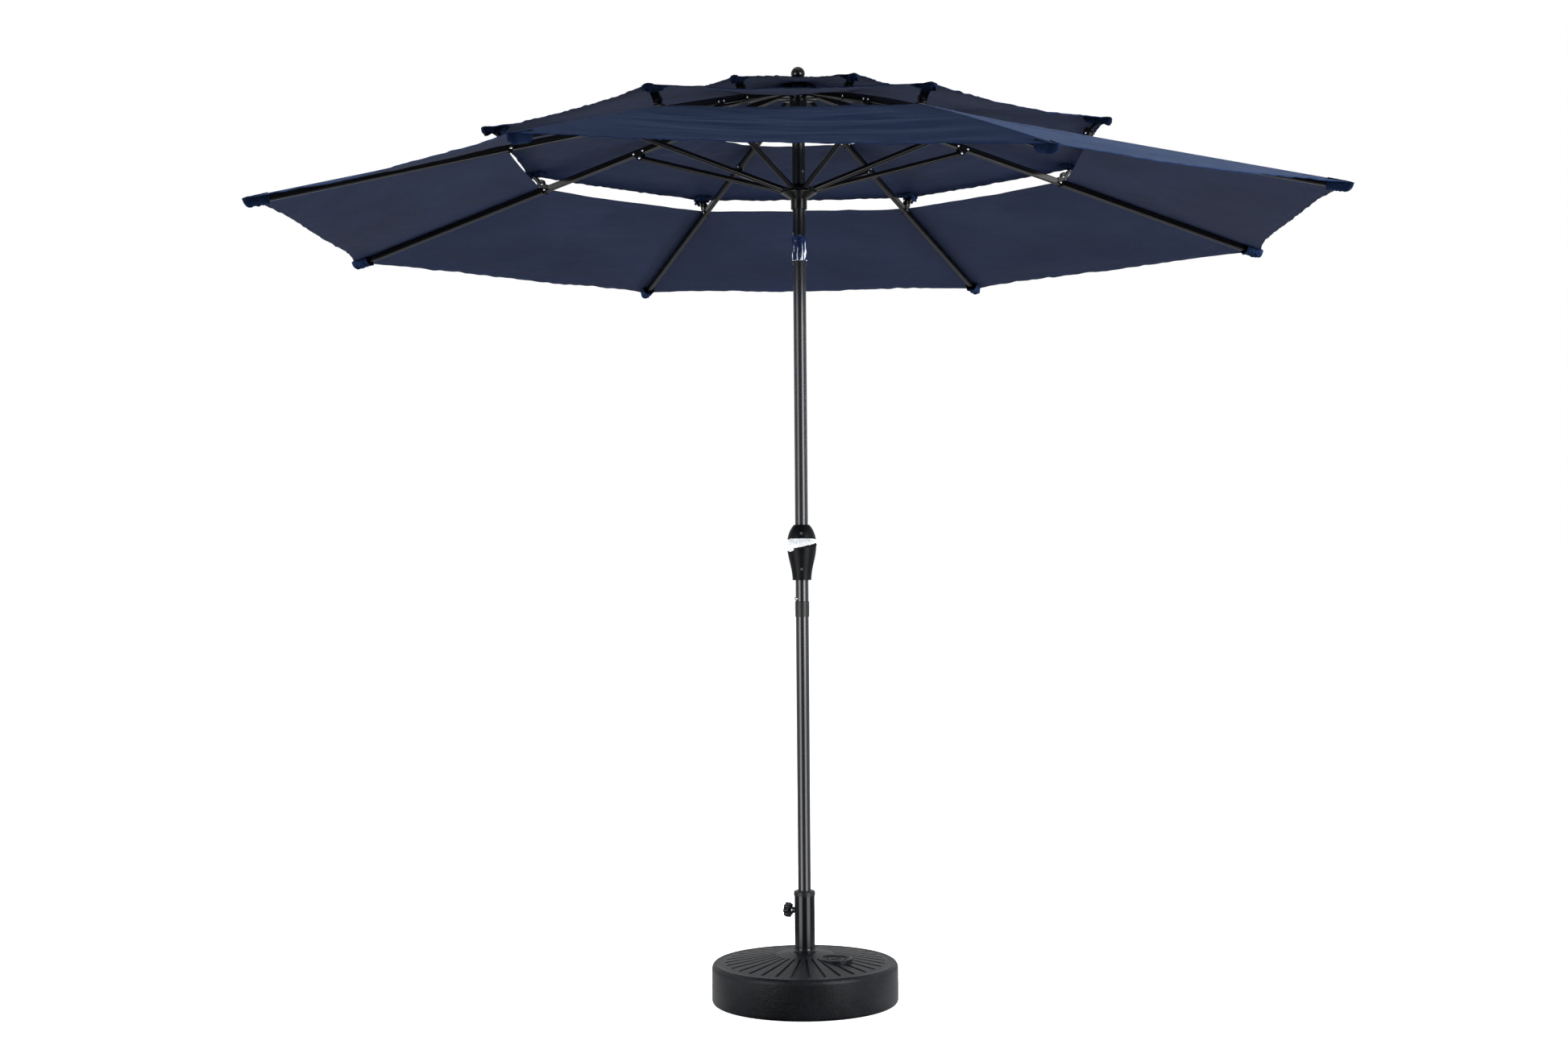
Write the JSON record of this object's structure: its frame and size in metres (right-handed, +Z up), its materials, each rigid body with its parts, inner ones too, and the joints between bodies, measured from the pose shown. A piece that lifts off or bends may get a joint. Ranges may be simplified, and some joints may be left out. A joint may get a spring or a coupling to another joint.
{
  "type": "patio umbrella with base",
  "caption": "Market umbrella with a three-tier octagonal canopy, crank lift, push-button tilt and a round fillable base with a clamp stem.",
  "frame": {"origin": "on the ground at the centre of the round base, under the mast's axis", "axes": "+Z up along the mast; the crank faces -Y, and so does a flat side of the octagonal canopy; +X to the right of someone who faces the crank"},
  "size_m": [2.7272, 2.7272, 2.5524],
  "materials": {
    "tank_plastic": "matte",
    "sand": "matte",
    "stem_metal": "gloss",
    "collar_plastic": "satin",
    "cap_plastic": "matte",
    "knob_plastic": "satin",
    "bright_steel": "polished",
    "axle_steel": "satin",
    "insert_aluminium": "satin",
    "pole_metal": "satin",
    "joint_metal": "satin",
    "housing_plastic": "satin",
    "hub_plastic": "gloss",
    "pulley_nylon": "satin",
    "finial_plastic": "gloss",
    "rib_metal": "satin",
    "bracket_plastic": "gloss",
    "canopy_fabric": "matte"
  },
  "bodies": {
    "base": {"base_tank": "tank_plastic", "sand_ballast": "sand", "stem_tube": "stem_metal", "stem_collar": "collar_plastic", "stem_bush": "collar_plastic"},
    "filler_cap": {"filler_cap": "cap_plastic"},
    "clamp_screw": {"clamp_knob": "knob_plastic", "clamp_bolt": "bright_steel"},
    "mast": {"lower_pole": "pole_metal", "pole_foot": "collar_plastic", "joint_collar": "collar_plastic", "joint_insert": "insert_aluminium", "middle_pole": "pole_metal", "housing_front": "housing_plastic", "housing_back": "housing_plastic", "housing_screws": "bright_steel", "tilt_fork": "joint_metal", "tilt_pin": "bright_steel", "mast_rivets": "bright_steel"},
    "snap_button": {"snap_button": "bright_steel"},
    "crank": {"crank_axle": "axle_steel", "crank_arm": "housing_plastic"},
    "crank_grip": {"crank_grip": "knob_plastic"},
    "upper_mast": {"tilt_tongue": "joint_metal", "upper_pole": "pole_metal", "upper_rivets": "bright_steel", "top_hub": "hub_plastic", "hub_pins": "axle_steel", "finial": "finial_plastic", "canopy_lower": "canopy_fabric", "canopy_middle": "canopy_fabric", "canopy_top": "canopy_fabric"},
    "tilt_button": {"tilt_button": "knob_plastic"},
    "pulley": {"pulley": "pulley_nylon"},
    "runner": {"runner": "hub_plastic", "runner_pins": "axle_steel"},
    "rib_1": {"rib_1": "rib_metal", "rib_fittings_1": "bracket_plastic"},
    "strut_1": {"strut_1": "rib_metal"},
    "rib_2": {"rib_2": "rib_metal", "rib_fittings_2": "bracket_plastic"},
    "strut_2": {"strut_2": "rib_metal"},
    "rib_3": {"rib_3": "rib_metal", "rib_fittings_3": "bracket_plastic"},
    "strut_3": {"strut_3": "rib_metal"},
    "rib_4": {"rib_4": "rib_metal", "rib_fittings_4": "bracket_plastic"},
    "strut_4": {"strut_4": "rib_metal"},
    "rib_5": {"rib_5": "rib_metal", "rib_fittings_5": "bracket_plastic"},
    "strut_5": {"strut_5": "rib_metal"},
    "rib_6": {"rib_6": "rib_metal", "rib_fittings_6": "bracket_plastic"},
    "strut_6": {"strut_6": "rib_metal"},
    "rib_7": {"rib_7": "rib_metal", "rib_fittings_7": "bracket_plastic"},
    "strut_7": {"strut_7": "rib_metal"},
    "rib_8": {"rib_8": "rib_metal", "rib_fittings_8": "bracket_plastic"},
    "strut_8": {"strut_8": "rib_metal"}
  },
  "joints": [
    {"name": "mast_turn", "type": "hinge", "parent": "base", "child": "mast", "pos_m": [0, 0, 0.3], "axis": [0, 0, 1], "continuous": true},
    {"name": "clamp_turn", "type": "hinge", "parent": "base", "child": "clamp_screw", "pos_m": [-0.04527, 0.01875, 0.248], "axis": [-0.9239, 0.3827, 0], "range_deg": [0, 720]},
    {"name": "filler_lift", "type": "slide", "parent": "base", "child": "filler_cap", "axis": [0, 0, 1], "range_m": [0, 0.03]},
    {"name": "snap_press", "type": "slide", "parent": "mast", "child": "snap_button", "axis": [0.848, 0.5299, 0], "range_m": [0, 0.0038], "stiffness_N_per_m": 800, "springref_m": -0.002},
    {"name": "tilt", "type": "hinge", "parent": "mast", "child": "upper_mast", "pos_m": [0, 0, 2.056], "axis": [1, 0, 0], "range_deg": [0, 30]},
    {"name": "tilt_press", "type": "slide", "parent": "upper_mast", "child": "tilt_button", "axis": [0, 1, 0], "range_m": [0, 0.003], "stiffness_N_per_m": 800, "springref_m": -0.002},
    {"name": "grip_fold", "type": "hinge", "parent": "crank", "child": "crank_grip", "pos_m": [-0.034, -0.05, 1.247], "axis": [0, 0, -1], "range_deg": [0, 180]},
    {"name": "fold", "type": "hinge", "parent": "upper_mast", "child": "rib_1", "pos_m": [0.03696, 0.01531, 2.4774], "axis": [0.3827, -0.9239, 0], "range_deg": [-70.3, 0], "deforming": ["canopy_lower", "canopy_middle", "canopy_top"]},
    {"name": "rib_hinge_2", "type": "hinge", "parent": "upper_mast", "child": "rib_2", "pos_m": [0.01531, 0.03696, 2.4774], "axis": [0.9239, -0.3827, 0], "range_deg": [-70.3, 0]},
    {"name": "rib_hinge_3", "type": "hinge", "parent": "upper_mast", "child": "rib_3", "pos_m": [-0.01531, 0.03696, 2.4774], "axis": [0.9239, 0.3827, 0], "range_deg": [-70.3, 0]},
    {"name": "rib_hinge_4", "type": "hinge", "parent": "upper_mast", "child": "rib_4", "pos_m": [-0.03696, 0.01531, 2.4774], "axis": [0.3827, 0.9239, 0], "range_deg": [-70.3, 0]},
    {"name": "rib_hinge_5", "type": "hinge", "parent": "upper_mast", "child": "rib_5", "pos_m": [-0.03696, -0.01531, 2.4774], "axis": [-0.3827, 0.9239, 0], "range_deg": [-70.3, 0]},
    {"name": "rib_hinge_6", "type": "hinge", "parent": "upper_mast", "child": "rib_6", "pos_m": [-0.01531, -0.03696, 2.4774], "axis": [-0.9239, 0.3827, 0], "range_deg": [-70.3, 0]},
    {"name": "rib_hinge_7", "type": "hinge", "parent": "upper_mast", "child": "rib_7", "pos_m": [0.01531, -0.03696, 2.4774], "axis": [-0.9239, -0.3827, 0], "range_deg": [-70.3, 0]},
    {"name": "rib_hinge_8", "type": "hinge", "parent": "upper_mast", "child": "rib_8", "pos_m": [0.03696, -0.01531, 2.4774], "axis": [-0.3827, -0.9239, 0], "range_deg": [-70.3, 0]},
    {"name": "strut_hinge_1", "type": "hinge", "parent": "rib_1", "child": "strut_1", "pos_m": [0.45195, 0.1872, 2.34612], "axis": [0.3827, -0.9239, 0], "range_deg": [0, 140.6]},
    {"name": "strut_hinge_2", "type": "hinge", "parent": "rib_2", "child": "strut_2", "pos_m": [0.1872, 0.45195, 2.34612], "axis": [0.9239, -0.3827, 0], "range_deg": [0, 140.6]},
    {"name": "strut_hinge_3", "type": "hinge", "parent": "rib_3", "child": "strut_3", "pos_m": [-0.1872, 0.45195, 2.34612], "axis": [0.9239, 0.3827, 0], "range_deg": [0, 140.6]},
    {"name": "strut_hinge_4", "type": "hinge", "parent": "rib_4", "child": "strut_4", "pos_m": [-0.45195, 0.1872, 2.34612], "axis": [0.3827, 0.9239, 0], "range_deg": [0, 140.6]},
    {"name": "strut_hinge_5", "type": "hinge", "parent": "rib_5", "child": "strut_5", "pos_m": [-0.45195, -0.1872, 2.34612], "axis": [-0.3827, 0.9239, 0], "range_deg": [0, 140.6]},
    {"name": "strut_hinge_6", "type": "hinge", "parent": "rib_6", "child": "strut_6", "pos_m": [-0.1872, -0.45195, 2.34612], "axis": [-0.9239, 0.3827, 0], "range_deg": [0, 140.6]},
    {"name": "strut_hinge_7", "type": "hinge", "parent": "rib_7", "child": "strut_7", "pos_m": [0.1872, -0.45195, 2.34612], "axis": [-0.9239, -0.3827, 0], "range_deg": [0, 140.6]},
    {"name": "strut_hinge_8", "type": "hinge", "parent": "rib_8", "child": "strut_8", "pos_m": [0.45195, -0.1872, 2.34612], "axis": [-0.3827, -0.9239, 0], "range_deg": [0, 140.6]},
    {"name": "runner_hinge", "type": "hinge", "parent": "strut_1", "child": "runner", "pos_m": [0.03696, 0.01531, 2.21484], "axis": [0.3827, -0.9239, 0], "range_deg": [-70.3, 0]},
    {"name": "crank_turn", "type": "hinge", "parent": "mast", "child": "crank", "pos_m": [0, 0, 1.247], "axis": [0, 1, 0], "range_deg": [-3240, 0]},
    {"name": "pulley_turn", "type": "hinge", "parent": "upper_mast", "child": "pulley", "pos_m": [0, 0, 2.4224], "axis": [0, 1, 0], "continuous": true}
  ],
  "couplings": [
    {"joint": "rib_hinge_2", "follows": "fold", "ratio": 1},
    {"joint": "rib_hinge_3", "follows": "fold", "ratio": 1},
    {"joint": "rib_hinge_4", "follows": "fold", "ratio": 1},
    {"joint": "rib_hinge_5", "follows": "fold", "ratio": 1},
    {"joint": "rib_hinge_6", "follows": "fold", "ratio": 1},
    {"joint": "rib_hinge_7", "follows": "fold", "ratio": 1},
    {"joint": "rib_hinge_8", "follows": "fold", "ratio": 1},
    {"joint": "strut_hinge_1", "follows": "fold", "ratio": -2},
    {"joint": "strut_hinge_2", "follows": "fold", "ratio": -2},
    {"joint": "strut_hinge_3", "follows": "fold", "ratio": -2},
    {"joint": "strut_hinge_4", "follows": "fold", "ratio": -2},
    {"joint": "strut_hinge_5", "follows": "fold", "ratio": -2},
    {"joint": "strut_hinge_6", "follows": "fold", "ratio": -2},
    {"joint": "strut_hinge_7", "follows": "fold", "ratio": -2},
    {"joint": "strut_hinge_8", "follows": "fold", "ratio": -2},
    {"joint": "runner_hinge", "follows": "fold", "ratio": 1},
    {"joint": "crank_turn", "follows": "fold", "ratio": 46}
  ]
}
